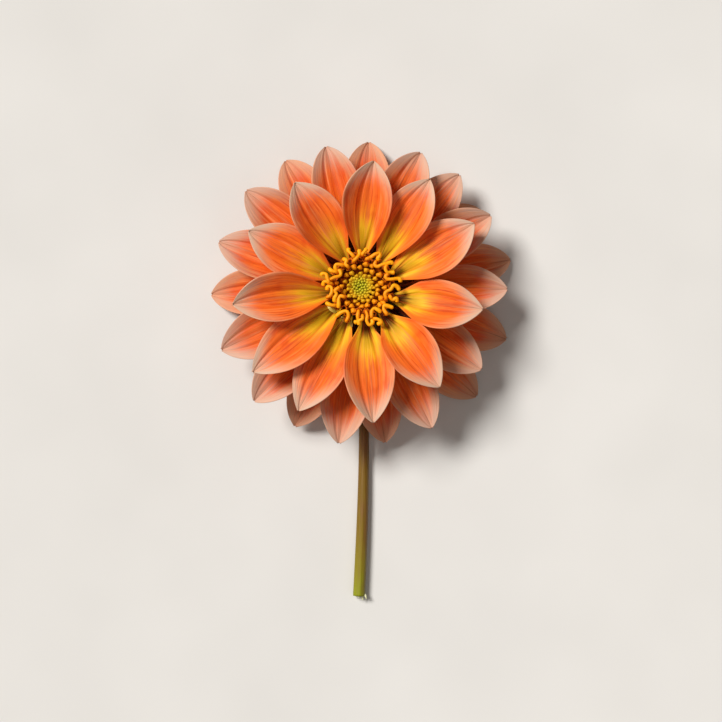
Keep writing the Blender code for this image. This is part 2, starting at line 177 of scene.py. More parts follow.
# (share of the tube's length, share of its radius, share of its colours), up the outside, round the
# lobes of the mouth and down its inside.
TUBE_PROFILE = (
    (0, 0.62, 0), (0.4, 0.66, 0.25), (0.66, 0.86, 0.55), (0.86, 1, 0.8),
    (1, 1.3, 1), (0.985, 1.0, 0.9), (0.92, 0.66, 0.5), (0.72, 0.5, 0.05),
)
MOUTHS = 30
MOUTH_ZONE = (8.9 * MM, 10.6 * MM)
MOUTH_HEIGHT = 7.6 * MM
ARMS = (
    ((-2.3, 8.1), (-1.2, 9.2), (-0.4, 10.4), (-0.5, 12.1)),
    ((0.5, 10.2), (1.2, 11.2), (2.0, 12.2)),
    ((2.0, 8.7), (3.2, 9.2), (4.8, 10.3), (6.1, 10.6), (6.3, 9.8), (5.7, 9.0), (6.1, 8.2)),
    ((5.0, 7.9), (4.6, 6.9), (5.5, 6.2), (7.0, 6.8), (8.6, 7.2), (10.0, 7.6), (10.6, 6.9)),
    ((8.6, 6.7), (8.1, 5.6), (8.7, 4.4), (10.0, 4.3), (11.3, 4.3)),
    ((9.0, 3.8), (8.2, 3.0), (8.8, 2.1), (10.6, 2.1), (12.2, 2.3), (13.0, 1.9), (12.9, 1.1)),
    ((8.4, -4.4), (8.0, -3.0), (8.6, -2.0), (9.9, -1.4), (10.8, -0.1), (12.1, -0.5), (12.8, -1.8)),
    ((9.6, -3.6), (10.4, -4.7), (11.7, -4.3), (11.9, -5.5)),
    ((8.5, -9.4), (7.6, -7.9), (7.8, -6.7), (9.2, -6.9), (10.8, -7.4)),
    ((3.6, -10.4), (3.6, -8.7), (4.4, -7.6), (5.6, -8.0), (6.8, -8.9)),
    ((4.5, -11.0), (5.7, -11.2), (6.7, -12.2), (5.3, -12.8)),
    ((1.8, -8.6), (2.2, -10.0), (2.0, -11.6), (2.8, -13.0), (3.9, -12.3), (3.7, -10.9)),
    ((0.6, -9.9), (0.6, -11.0), (-0.5, -11.7), (-0.5, -13.1)),
    ((-0.7, -8.4), (-1.0, -10.2), (-0.9, -11.7), (-2.3, -12.2)),
    ((-4.7, -11.7), (-4.0, -10.2), (-4.3, -8.8), (-5.2, -8.5), (-6.8, -9.2), (-8.3, -10.4)),
    ((-8.4, -6.6), (-10.1, -6.4), (-11.5, -5.6)),
    ((-5.4, -3.8), (-6.6, -3.5), (-7.2, -4.6), (-7.2, -6.2), (-7.4, -7.5)),
    ((-7.2, -0.8), (-8.4, -1.8), (-7.9, -2.9), (-8.5, -4.2), (-8.6, -5.6)),
    ((-11.0, -3.9), (-10.0, -3.4), (-9.4, -2.0), (-9.7, -0.6), (-10.8, -0.5), (-11.0, -1.7)),
    ((-9.5, 0.6), (-11.2, 1.2), (-12.1, 1.1), (-12.3, -0.1)),
    ((-10.3, 0.9), (-10.9, 2.2), (-11.3, 3.6), (-12.4, 3.9), (-13.0, 3.3)),
    ((-9.8, 2.0), (-8.6, 2.6), (-6.8, 3.2), (-6.6, 4.3), (-7.3, 5.3)),
    ((-8.0, 4.4), (-9.4, 4.7), (-10.5, 5.6)),
    ((-5.8, 6.7), (-7.9, 6.9), (-8.3, 5.8), (-7.7, 4.7)),
    ((-4.2, 6.2), (-5.0, 7.1), (-4.7, 8.2), (-5.9, 8.9)),
    ((-2.2, 9.4), (-3.2, 10.5), (-4.0, 11.4), (-3.9, 12.3)),
)
# How far the florets lean over from their feet, and the height over which they do so.
DISC_LEAN = Vector((-0.12, -0.56, 0)) * MM
LEAN_HEIGHT = 3.5 * MM

# Chaffy scales that show past the disc's edge, in millimetres: root, tip and half width.
SCALES = (
    ((-8.0, -9.4), (-11.0, -7.2), 0.62),
    ((-5.2, -12.3), (-6.5, -10.6), 0.5),
    ((-3.6, -11.6), (-3.0, -14.0), 0.38),
)
SCALE_HEIGHT = 6.4 * MM
SCALE_ROWS = 16
SCALE_COLUMNS = 9
SCALE_THICKNESS = 0.18 * MM

# The stem, ribbed where it is slender.
STEM_RINGS = 150
STEM_SIDES = 56
STEM_RIBS = 9
RIB_DEPTH = 0.035
STEM_NARROWING = 0.02
SLENDER_STEM = 2.3 * MM
NECK_RINGS = 24
# The receptacle's flare under its foot and over it, and the dome on its top: (share of the flare's or
# the dome's height, share of the receptacle's radius).
FLARE = ((0, 0.18), (0.2, 0.2), (0.4, 0.3), (0.6, 0.5), (0.8, 0.74), (1, 0.9), (1.4, 0.985), (2, 1))
DOME = ((0, 0.99), (0.3, 0.93), (0.6, 0.8), (0.85, 0.55), (1, 0.2), (1.01, 0.02))
# Fibres torn at the cut end: the place each starts, across and up as shares of the stem's radius, how
# far it leans and its length in millimetres.
FIBRES = ((1.0, 0.3, 0.5, 1.1), (0.5, 0.1, 0.18, 1.5), (-0.05, 0.5, -0.1, 0.7))
FIBRE_RADIUS = 0.42 * MM

# Seeds of the random draws. A petal's seed is its number.
BRACT_SEED = 100
GREEN_SEED = 14
CLOSED_SEED = 15
OPEN_SEED = 7
STEM_SEED = 11

KEY_DIRECTION = (-0.79, 0.58, 1.18)
FILL_DIRECTION = (0.5, -0.5, 1.2)
FLOOR_REACH = 30
CAMERA_LENS = 100
CAMERA_SHIFT_Y = -24.7 * MM
CAMERA_HEIGHT = 668 * MM


def corners(node):
    """The places of a CAD node's vertices, each one once."""
    places = np.array([vert.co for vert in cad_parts[node].data.vertices])
    return np.unique(places.round(6), axis=0)


def find_head():
    """The head's own axes. The green florets' round foot is centred on its axis at FLORET_FOOT."""
    disc = corners("green_disc_florets")
    foot = disc[disc[:, 2] < disc[:, 2].min() + 0.6 * MM]
    lean = Matrix.Rotation(-HEAD_TILT, 4, "X")
    centre = Matrix.Translation((foot.min(axis=0) + foot.max(axis=0)) / 2)
    return centre @ lean @ Matrix.Translation((0, 0, -FLORET_FOOT))


HEAD = find_head()


# Meshes -----------------------------------------


def smoothstep(low, high, value):
    share = np.clip((value - low) / (high - low), 0, 1)
    return share * share * (3 - 2 * share)


def bell(value, width):
    return np.exp(-((value / width) ** 2))


def add_object(name, data):
    made = bpy.data.objects.new(name, data)
    bpy.context.scene.collection.objects.link(made)
    return made


def new_object(name, verts, faces, looks, axes=HEAD):
    """A smooth mesh object made of these points, given in these axes, with its points in the world."""
    mesh = bpy.data.meshes.new(name)
    turn = np.array(axes)
    placed = np.asarray(verts) @ turn[:3, :3].T + turn[:3, 3]
    mesh.from_pydata(placed.tolist(), [], faces)
    mesh.shade_smooth()
    for look in looks:
        mesh.materials.append(look)
    return add_object(name, mesh)


def grid_faces(rows, columns, first=0, closed=False):
    """Quads between the points of a grid, row after row; a closed one joins its last column to its
    first."""
    faces = []
    for row in range(rows - 1):
        for column in range(columns if closed else columns - 1):
            right = (column + 1) % columns
            near, far = first + row * columns, first + (row + 1) * columns
            faces.append((near + column, near + right, far + right, far + column))
    return faces


def set_uv(obj, name, across, along):
    """Gives each corner of the mesh a UV place, from its vertex's."""
    mesh = obj.data
    layer = mesh.uv_layers.new(name=name)
    index = np.zeros(len(mesh.loops), int)
    mesh.loops.foreach_get("vertex_index", index)
    layer.data.foreach_set("uv", np.column_stack((across[index], along[index])).ravel())


def set_grain(obj, grain):
    """Stores the place that the surface's grain is drawn from, in millimetres."""
    attribute = obj.data.attributes.new("grain", "FLOAT_VECTOR", "POINT")
    attribute.data.foreach_set("vector", np.asarray(grain, float).ravel())


def place_piece(obj, slot, *nodes):
    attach(obj, BODY)
    if nodes:
        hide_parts(*nodes)


# Petals and bracts ------------------------------


def midline(share, length, rise, base_slope, tip_slope):
    """(distance out, height) on a blade's midline: a cubic Bezier with a slope at each end."""
    reach = 0.4 * length
    near, far = radians(base_slope), radians(tip_slope)
    points = (
        (0, 0),
        (reach * cos(near), reach * sin(near)),
        (length - reach * cos(far), rise - reach * sin(far)),
        (length, rise),
    )
    back = 1 - share
    weights = (back**3, 3 * back**2 * share, 3 * back * share**2, share**3)
    return tuple(sum(w * p[k] for w, p in zip(weights, points)) for k in (0, 1))


def unit_outline(share, widest):
    """A blade's width along its length, as a share of its greatest."""
    power = 1.9 * (1 - widest)
    swell = power * widest / (1 - widest)
    return share**swell * (1 - share) ** power / (widest**swell * (1 - widest) ** power)


def outline(share, widest, half_width, claw):
    """Half the blade's width: a narrow claw at the base, an arched point at the tip."""
    return np.hypot(half_width * unit_outline(share, widest), claw * np.sqrt(1 - share))


def blade_grid(rows, columns, crowding=TIP_CROWDING):
    """A blade's grid, row by row: share along the blade and place across it from -1 to 1."""
    steps = np.linspace(0, 1, rows)
    share = LAST_SHARE * (1 - (1 - steps) ** crowding)
    share, across = np.meshgrid(share, np.linspace(-1, 1, columns), indexing="ij")
    return share.ravel(), across.ravel()


def widest_row(widest):
    """The share along a petal of the CAD's row of points nearest its widest place."""
    shares = [1 - (1 - row / CAD_ROWS) ** TIP_CROWDING for row in range(CAD_ROWS)]
    return min(shares, key=lambda share: abs(share - widest))


def read_petal(node, whorl):
    """Measures a petal on its CAD node: its base, its tip and its two edges at the widest row. The
    CAD has two points for each point of the petal's middle surface, one on each side of it."""
    to_head = np.array(HEAD.inverted())
    places = corners(node) @ to_head[:3, :3].T + to_head[:3, 3]
    places = places[np.argsort(np.hypot(places[:, 0], places[:, 1]))]
    claw, tip = places[:CAD_BASE_POINTS], places[-2:].mean(axis=0)

    run = tip - claw.mean(axis=0)
    sideways = claw[:, 0] * run[1] - claw[:, 1] * run[0]
    middle = np.argsort(np.abs(sideways - sideways.mean()))[:2]
    base = claw[middle].mean(axis=0)
    run = tip - base
    length = hypot(run[0], run[1])
    out = np.array((run[0], run[1], 0)) / length
    right = np.array((out[1], -out[0], 0))

    share = widest_row(whorl.widest)
    row_out, row_up = midline(share, length, run[2], whorl.base_slope, whorl.tip_slope)
    row = (places - base)[np.abs((places - base) @ out - row_out) < CAD_ROW_REACH]
    edges = []
    for side in (-1, 1):
        edge = row[np.argsort(side * (row @ right))[-2:]].mean(axis=0)
        width = abs(edge @ right)
        blade = sqrt(width**2 - CLAW_HALF_WIDTH**2 * (1 - share))
        rise = (edge[2] - row_up) * CURL_WIDTH / width
        edges += [blade / unit_outline(share, whorl.widest), rise]
    return Petal(base, atan2(run[0], run[1]), length, run[2], *edges)


def petal_relief(share, across, draw):
    """Height of a petal's grooves, keel, pleats and creased tip over its smooth cupped form."""
    side = np.abs(across)
    body = smoothstep(0.02, 0.2, share) * (1 - 0.65 * smoothstep(0.8, 1, share))
    groove_place = GROOVE_PLACE + draw.uniform(-0.03, 0.03)
    groove_place = groove_place + 0.03 * np.sin(5 * share + draw.uniform(0, 6))
    grooves = -GROOVE_DEPTH * bell(side - groove_place, GROOVE_WIDTH)
    keel = KEEL_HEIGHT * bell(across, KEEL_WIDTH)
    pleats = PLEAT_DEPTH * np.cos(PLEATS * pi * across + draw.uniform(0, 6))
    crease = TIP_CREASE * (0.3 - bell(across, 0.28)) * smoothstep(0.72, 0.97, share)
    return body * (grooves + keel + pleats) + crease


def edge_wave(share, across, draw):
    """A slow wave that grows towards the petal's edges, another one on each side."""
    wave = 0
    for side in (-1, 1):
        swing = sum(
            draw.uniform(0.3, 1) * np.sin(turns * pi * share + draw.uniform(0, 6))
            for turns in (2.2, 3.9, 6.3)
        )
        wave = wave + np.where(across * side > 0, swing, 0)
    return EDGE_WAVE * wave * np.abs(across) ** 2.5 * smoothstep(0.08, 0.4, share)


def new_blade(name, local, faces, looks, axes, across, along, grain, thickness):
    """A blade of a petal, bract or scale, thinner towards its edges. Its back has the second look."""
    obj = new_object(name, local, faces, looks, axes)
    set_uv(obj, "PetalUV", (across + 1) / 2, along)
    set_grain(obj, grain)
    group = obj.vertex_groups.new(name="thickness")
    for index, value in enumerate(1 - EDGE_THINNING * across**4):
        group.add([index], value, "REPLACE")
    solidify = obj.modifiers.new("thickness", "SOLIDIFY")
    solidify.thickness = thickness
    solidify.offset = -1
    solidify.vertex_group = "thickness"
    solidify.material_offset = 1
    return obj


def grow_petal(node, whorl, number, looks):
    """A petal regrown on a fine grid: same base, tip and width as its CAD node, and cupped as there,
    only more deeply."""
    petal = read_petal(node, whorl)
    draw = random.Random(number)
    share, across = blade_grid(PETAL_ROWS, PETAL_COLUMNS)
    facing = cos(petal.turn - FAR_BEARING)
    far, near = max(0, facing), max(0, -facing)

    out, up = midline(share, petal.length, petal.rise, whorl.base_slope, whorl.tip_slope)
    half_width = np.where(across > 0, petal.right_width, petal.left_width)
    edge_rise = np.where(across > 0, petal.right_rise, petal.left_rise)
    width = outline(share, whorl.widest, half_width, FULL_CLAW)
    width *= 1 - CLAW_PINCH * far * smoothstep(0.38, 0.08, share)
    roundness = FOLD_AT_BASE + (FOLD_AT_TIP - FOLD_AT_BASE) * share
    deeper = DEEPER_FOLD + NEAR_FOLD * near
    curl = deeper * edge_rise * width / CURL_WIDTH * np.abs(across) ** roundness
    relief = petal_relief(share, across, draw) + edge_wave(share, across, draw) * width / CURL_WIDTH
    local = np.column_stack((across * width, out, up + curl + relief + FACE_LIFT))

    axes = HEAD @ Matrix.Translation(petal.base) @ Matrix.Rotation(-petal.turn, 4, "Z")
    # The throat's ramp slides outwards on petals far from the light, as painted shade, and inwards on
    # near ones, as painted light.
    along = share - (FAR_PAINTED_SHADE * far - NEAR_PAINTED_LIGHT * near) * (1 - share) ** 3.5
    grain = np.column_stack((across * CURL_WIDTH / MM, out / MM, np.full(len(out), 17.3 * number)))
    faces = grid_faces(PETAL_ROWS, PETAL_COLUMNS)
    obj = new_blade(node + "_bloom", local, faces, looks, axes, across, along, grain, PETAL_THICKNESS)
    place_piece(obj, "petals", node)


def grow_petals(looks):
    number = 0
    for whorl in WHORLS:
        for place in range(1, whorl.count + 1):
            number += 1
            grow_petal(f"{whorl.name}_petal_{place:02d}", whorl, number, looks[whorl.look])


def grow_bracts(ring, looks):
    """A ring of bracts, each a thin leaf with a midrib and a slightly rolled edge."""
    share, across = blade_grid(BRACT_ROWS, BRACT_COLUMNS)
    length = (ring.reach - ring.join_radius) * MM
    rise = (ring.tip_height - ring.join_height) * MM
    half_width = ring.half_width * MM
    thickness = ring.thickness * MM
    faces = grid_faces(BRACT_ROWS, BRACT_COLUMNS)
    out, up = midline(share, length, rise, *BRACT_SLOPES)
    width = outline(share, BRACT_WIDEST, half_width, BRACT_CLAW * half_width)
    for number in range(ring.count):
        draw = random.Random(BRACT_SEED + number + ring.count)
        curl = ring.rise * MM * across**2 * width / half_width
        ribs = 0.1 * MM * bell(across, 0.14) + 0.04 * MM * np.cos(9 * pi * across)
        wave = edge_wave(share, across, draw) * 0.6
        local = np.column_stack((across * width, out, up + curl - ribs + wave + thickness / 2))
        bearing = ring.first_bearing + 360 * number / ring.count
        axes = HEAD @ Matrix.Rotation(-radians(bearing), 4, "Z")
        axes = axes @ Matrix.Translation((0, ring.join_radius * MM, ring.join_height * MM))
        node = f"{ring.name}_{number + 1}"
        grain = np.column_stack((across * width / MM, out / MM, np.full(len(out), 9.1 * number)))
        obj = new_blade(node + "_leaf", local, faces, looks, axes, across, share, grain, thickness)
        place_piece(obj, ring.name + "s", node)


# The disc ---------------------------------------


class Pile:
    """Points and faces of many small parts that make up one piece. A point's marks are its share of
    the way to its part's tip, and its part's seed and ripeness. A face's look is a number."""

    def __init__(self):
        self.verts = []
        self.marks = []
        self.faces = []
        self.looks = []

    def rings(self, rings, look=0, seed=0.0, tips=None, ripeness=1.0, looped=False):
        """A closed skin over a row of rings of points. Its two ends are filled, or joined if looped."""
        sides = len(rings[0])
        first = len(self.verts)
        last = first + (len(rings) - 1) * sides
        for number, ring in enumerate(rings):
            self.verts += [tuple(point) for point in ring]
            height = tips[number] if tips is not None else number / (len(rings) - 1)
            self.marks += [(height, seed, ripeness)] * sides
        made = grid_faces(len(rings), sides, first, closed=True)
        if looped:
            for side in range(sides):
                other = (side + 1) % sides
                made.append((last + side, last + other, first + other, first + side))
        else:
            made.append(tuple(first + side for side in reversed(range(sides))))
            made.append(tuple(last + side for side in range(sides)))
        self.faces += made
        self.looks += [look] * len(made)

    def piece(self, name, looks, axes=HEAD):
        obj = new_object(name, self.verts, self.faces, looks, axes)
        obj.data.polygons.foreach_set("material_index", self.looks)
        tips, seeds, ripeness = np.array(self.marks).T
        set_uv(obj, "PartUV", ripeness, tips)
        set_grain(obj, np.array(self.verts) / MM + seeds[:, None])
        return obj

    def florets(self, kind, looks):
        """Leans the florets over from their feet up, as the disc leans on the head, and makes their
        piece."""
        verts = np.array(self.verts)
        share = np.clip((verts[:, 2] - FLORET_FOOT) / LEAN_HEIGHT, 0, 1)
        self.verts = (verts + share[:, None] * np.array(DISC_LEAN)).tolist()
        node = kind + "_disc_florets"
        place_piece(self.piece(kind + "_florets", looks), node, node)


def polar(angle, radius, height):
    return Vector((radius * sin(angle), radius * cos(angle), height))


def spiral(count, zone):
    """Places on a sunflower spiral that fill a round zone: (angle, radius) pairs."""
    for number in range(count):
        yield number * GOLDEN_ANGLE, zone * sqrt((number + 0.5) / count)


def ring_round(place, first, second, sides, reach_at, turn=0.0, squash=1.0):
    """A ring of points round a place, as far out at each angle as reach_at says."""
    ring = []
    for side in range(sides):
        angle = 2 * pi * side / sides
        reach = reach_at(angle)
        ring.append(place + first * reach * cos(angle + turn)
                    + second * reach * squash * sin(angle + turn))
    return ring


def across_frame(along):
    """Two directions across a path that runs along this one."""
    reference = Vector((0, 0, 1)) if abs(along.z) < 0.9 else Vector((0, 1, 0))
    first = along.cross(reference).normalized()
    return first, along.cross(first).normalized()


def add_bud(pile, foot, top, radius, ripeness, draw):
    """An unopened floret: a narrow tube that swells into a bud, whose five folded lobes meet at a
    blunt point."""
    run = top - foot
    first, second = across_frame(run.normalized())
    phase = draw.uniform(0, 6.3)
    squash = draw.uniform(0.72, 1)
    rings = []
    for share, swell in BUD_PROFILE:
        lobed = 0.09 * (share > 0.6)

        def reach(angle):
            lobe = 1 + lobed * cos(5 * angle)
            return radius * swell * lobe * (1 + 0.12 * cos(3 * angle + phase))

        rings.append(ring_round(foot + run * share, first, second, BUD_SIDES, reach, phase, squash))
    pile.rings(rings, 0, draw.uniform(0, 50), [share for share, _ in BUD_PROFILE], ripeness)


def add_bed(pile, inside, outside, look):
    """A ring of florets' bed: a short drum, narrower at its foot, or a band if it has an inside."""
    foot = FLORET_FOOT - 0.2 * MM
    section = [(outside * 0.8, foot), (outside, BED_FACE), (max(inside, 0.05 * MM), BED_FACE)]
    if inside > 0:
        section.append((inside * 0.8, foot))
    rings = []
    for radius, height in section:
        rings.append([polar(2 * pi * side / BED_SIDES, radius, height) for side in range(BED_SIDES)])
    pile.rings(rings, look, 0.0, [0.0] * len(rings), looped=inside > 0)


def grow_green_florets(looks):
    """The youngest florets: small buds packed on a spiral, lowest at the edge of their zone."""
    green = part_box("green_disc_florets")
    zone = (green[1].x - green[0].x) / 2
    pile = Pile()
    add_bed(pile, 0, zone, 1)
    draw = random.Random(GREEN_SEED)
    for angle, out in spiral(GREEN_COUNT, zone - 0.1 * MM):
        ripeness = out / zone
        height = GREEN_TOP + 0.2 * MM * (1 - ripeness**2) + draw.uniform(-0.25, 0.2) * MM
        radius = GREEN_BUD * draw.uniform(0.9, 1.06) * (0.72 + 0.28 * ripeness)
        foot = polar(angle, out * 0.87, BUD_FOOT)
        add_bud(pile, foot, polar(angle, out * 1.03, height), radius, ripeness, draw)
    pile.florets("green", looks)
    return zone


def grow_closed_florets(zone, looks):
    """The ripening buds between the green centre and the open florets, each one at its own place."""
    pile = Pile()
    add_bed(pile, zone + 0.1 * MM, CLOSED_REACH, 1)
    draw = random.Random(CLOSED_SEED)
    for x, y, radius in CLOSED_BUDS:
        out = hypot(x, y) * MM
        angle = atan2(x, y)
        ripeness = min(1.0, (out - zone) / (2.9 * MM))
        foot = polar(angle, min(0.86 * out, CLOSED_REACH - 0.4 * MM), BUD_FOOT)
        top = polar(angle, out, CLOSED_TOP + draw.uniform(-0.35, 0.3) * MM)
        add_bud(pile, foot, top, 1.1 * radius * MM, ripeness, draw)
    pile.florets("closed", looks)


def smooth_path(points, steps):
    """A Catmull-Rom curve through these points."""
    padded = [2 * points[0] - points[1]] + list(points) + [2 * points[-1] - points[-2]]
    path = []
    for before, start, end, after in zip(padded, padded[1:], padded[2:], padded[3:]):
        for step in range(steps):
            share = step / steps
            path.append(0.5 * (2 * start + (end - before) * share
                               + (2 * before - 5 * start + 4 * end - after) * share**2
                               + (3 * start - before - 3 * end + after) * share**3))
    path.append(points[-1])
    return path


def add_cord(pile, path, radii, look, seed, sides=12, flat=1.0):
    """A round skin along a path, with a frame carried along it so that it doesn't twist."""
    rings = []
    first = None
    for number, place in enumerate(path):
        ahead = path[min(number + 1, len(path) - 1)] - path[max(number - 1, 0)]
        ahead.normalize()
        if first is None:
            first, _ = across_frame(ahead)
        first = (first - ahead * first.dot(ahead)).normalized()
        second = ahead.cross(first)
        rings.append(ring_round(place, first, second, sides, lambda _: radii[number], squash=flat))
    pile.rings(rings, look, seed)


def rounded_radii(count, radius, swell):
    """Radii along a cord whose free end is round and which swells there."""
    radii = []
    for number in range(count):
        share = number / (count - 1)
        cap = sqrt(max(0.0, 1 - max(0.0, (share - 0.93) / 0.07) ** 2))
        lumps = 1 + 0.1 * sin(13 * share + radius / MM * 40)
        radii.append(radius * lumps * (1 + swell * share**3) * max(cap, 0.12))
    return radii


def add_arm(pile, points, draw):
    """A stigma arm: it rises out of its tube, arches over and lies curled on its neighbours."""
    count = len(points)
    lift = draw.uniform(-0.35, 0.35) * MM
    places = [Vector((points[0][0] * MM * 0.97, points[0][1] * MM * 0.97, ARM_HEIGHT - ARM_ROOT))]
    for number, (x, y) in enumerate(points):
        share = number / (count - 1)
        arch = sin(pi * min(1.0, 0.25 + 0.75 * share))
        wobble = draw.uniform(-0.22, 0.22) * MM
        places.append(Vector((x * MM, y * MM, ARM_HEIGHT + lift + ARM_ARCH * arch + wobble)))
    path = smooth_path(places, 7)
    radius = ARM_RADIUS * draw.uniform(0.94, 1.08)
    add_cord(pile, path, rounded_radii(len(path), radius, 0.3), 0, draw.uniform(0, 50))
    return places[0]


def add_corolla(pile, mouth, draw):
    """An open floret's tube, from the bed to its mouth, whose five lobes curl out."""
    out = min(max(hypot(mouth.x, mouth.y), TUBE_FOOT_ZONE[0]), TUBE_FOOT_ZONE[1])
    foot = polar(atan2(mouth.x, mouth.y), 0.9 * out, TUBE_FOOT)
    run = mouth - foot
    first, second = across_frame(run.normalized())
    radius = TUBE_RADIUS * draw.uniform(0.9, 1.1)
    phase = draw.uniform(0, 6.3)
    rings = []
    for share, swell, _ in TUBE_PROFILE:
        lobed = 0.2 * (share > 0.97)

        def reach(angle):
            return radius * swell * (1 + lobed * cos(5 * angle))

        rings.append(ring_round(foot + run * share, first, second, TUBE_SIDES, reach, phase))
    pile.rings(rings, 1, draw.uniform(0, 50), [colour for _, _, colour in TUBE_PROFILE])


def add_mouths(pile, draw):
    """More open florets that show between the arms."""
    for number in range(MOUTHS):
        angle = 2 * pi * (number + draw.uniform(-0.25, 0.25)) / MOUTHS
        row = number % 2
        radius = MOUTH_ZONE[row] + draw.uniform(-0.3, 0.3) * MM
        height = MOUTH_HEIGHT - 0.9 * MM * row + draw.uniform(-0.3, 0.3) * MM
        add_corolla(pile, polar(angle, radius, height), draw)


def grow_open_florets(looks):
    draw = random.Random(OPEN_SEED)
    pile = Pile()
    for points in ARMS:
        root = add_arm(pile, points, draw)
        add_corolla(pile, root + Vector((0, 0, 0.5 * MM)), draw)
    add_mouths(pile, draw)
    add_bed(pile, *OPEN_BED, 2)
    pile.florets("open", looks)


def grow_scales(looks):
    """Thin cream scales that stand between the petals and the disc."""
    share, across = blade_grid(SCALE_ROWS, SCALE_COLUMNS, 1)
    faces = grid_faces(SCALE_ROWS, SCALE_COLUMNS)
    for number, (root, tip, half_width) in enumerate(SCALES):
        run = Vector(tip) - Vector(root)
        width = half_width * MM * unit_outline(0.04 + 0.95 * share, 0.5)
        arch = 0.7 * MM * np.sin(pi * share) + 0.35 * MM * across**2
        axes = HEAD @ Matrix.Translation(Vector((*root, 0)) * MM)
        axes = axes @ Matrix.Rotation(-atan2(run.x, run.y), 4, "Z")
        local = np.column_stack((across * width, share * run.length * MM, SCALE_HEIGHT + arch))
        name, grain = f"chaffy_scale_{number + 1}", local / MM + 5 * number
        obj = new_blade(name, local, faces, looks, axes, across, share, grain, SCALE_THICKNESS)
        place_piece(obj, "open_disc_florets")


def grow_disc(looks):
    zone = grow_green_florets((looks["green"], looks["green_gap"]))
    grow_closed_florets(zone, (looks["closed"], looks["gap"]))
    grow_open_florets((looks["arm"], looks["tube"], looks["gap"]))
    grow_scales((looks["scale"], looks["scale"]))


# The stem ---------------------------------------


def stem_route():
    """(point, radius) from the cut end, along the surface, round the bent neck and up the axis to the
    top of the receptacle."""
    neck = HEAD @ Vector((0, 0, NECK_HEIGHT))
    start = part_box("stem")[0].y
    bend = (neck.z - NECK_RADIUS) / (1 - sin(HEAD_TILT))
    centre_y = neck.y - bend * cos(HEAD_TILT)
    route = []
    for step in range(STEM_RINGS):
        share = step / STEM_RINGS
        y = start + share * (centre_y - start)
        radius = CUT_RADIUS + share * (NECK_RADIUS - CUT_RADIUS)
        x = neck.x + CUT_END_X * (1 - share) + STEM_BOW * sin(pi * share)
        route.append((Vector((x, y, radius)), radius))
    for step in range(NECK_RINGS):
        angle = (pi / 2 - HEAD_TILT) * step / NECK_RINGS
        y = centre_y + bend * sin(angle)
        z = NECK_RADIUS + bend * (1 - cos(angle))
        route.append((Vector((neck.x, y, z)), NECK_RADIUS))
    flare = RECEPTACLE_FOOT - NECK_HEIGHT
    shape = [(NECK_HEIGHT + share * flare, swell) for share, swell in FLARE]
    shape.append((RECEPTACLE_TOP - 0.8 * flare, 1))
    shape += [(RECEPTACLE_TOP + share * DOME_RISE, swell) for share, swell in DOME]
    for height, swell in shape:
        route.append((HEAD @ Vector((0, 0, height)), swell * RECEPTACLE_RADIUS))
    return route


def stem_rings(route):
    """Rings of points round the stem's route, faintly ribbed and a little uneven where it is slender."""
    draw = random.Random(STEM_SEED)
    narrow_phase, rib_phase = draw.uniform(0, 6.3), draw.uniform(0, 6.3)
    rings = []
    for number, (place, radius) in enumerate(route):
        before, after = route[max(number - 1, 0)][0], route[min(number + 1, len(route) - 1)][0]
        ahead = (after - before).normalized()
        right = Vector((1, 0, 0))
        right = (right - ahead * right.dot(ahead)).normalized()
        up = right.cross(ahead)
        share = number / len(route)
        slender = radius < SLENDER_STEM
        narrowed = 1 - STEM_NARROWING * (1 + sin(9 * share + narrow_phase)) * slender

        def reach(angle):
            ribs = cos(STEM_RIBS * angle + 0.6 * sin(4 * share + rib_phase))
            return radius * (1 - RIB_DEPTH * slender * (0.5 - 0.5 * ribs)) * narrowed

        rings.append(ring_round(place, right, up, STEM_SIDES, reach))
    return rings


def grow_stem(looks):
    """The stem with the receptacle at its top, and its cut end with a pale pith."""
    route = stem_route()
    verts = [tuple(point) for ring in stem_rings(route) for point in ring]
    faces = grid_faces(len(route), STEM_SIDES, closed=True)
    looks_of_faces = [0] * len(faces)
    add_cut_face(verts, faces, looks_of_faces, route)
    last = (len(route) - 1) * STEM_SIDES
    faces.append(tuple(last + side for side in range(STEM_SIDES)))
    looks_of_faces.append(0)
    obj = new_object("stem_and_receptacle", verts, faces, looks, Matrix.Identity(4))
    obj.data.polygons.foreach_set("material_index", looks_of_faces)
    along = np.array([vert[1] for vert in verts])
    along = (along - along.min()) / (along.max() - along.min())
    around = np.array([(index % STEM_SIDES) / STEM_SIDES for index in range(len(verts))])
    set_uv(obj, "StemUV", around, along)
    set_grain(obj, np.array(verts) / MM)
    place_piece(obj, "stem", "stem")


def add_cut_face(verts, faces, looks_of_faces, route):
    """The cut end: a rim, a slightly sunk ring of tissue and the pith."""
    place, radius = route[0]
    edge = range(STEM_SIDES)
    for share, sink in ((0.86, 0.0), (0.55, 0.16), (0.3, 0.1), (0.05, 0.14)):
        first = len(verts)
        for side in range(STEM_SIDES):
            angle = 2 * pi * side / STEM_SIDES
            ragged = 1 + 0.04 * sin(7 * angle + 9 * share)
            verts.append((
                place.x + radius * share * ragged * cos(angle),
                place.y + (sink + 0.05 * sin(5 * angle)) * MM,
                place.z + radius * share * ragged * sin(angle),
            ))
        for side in range(STEM_SIDES):
            other = (side + 1) % STEM_SIDES
            faces.append((edge[other], edge[side], first + side, first + other))
            looks_of_faces.append(1)
        edge = range(first, first + STEM_SIDES)
    faces.append(tuple(reversed(edge)))
    looks_of_faces.append(1)


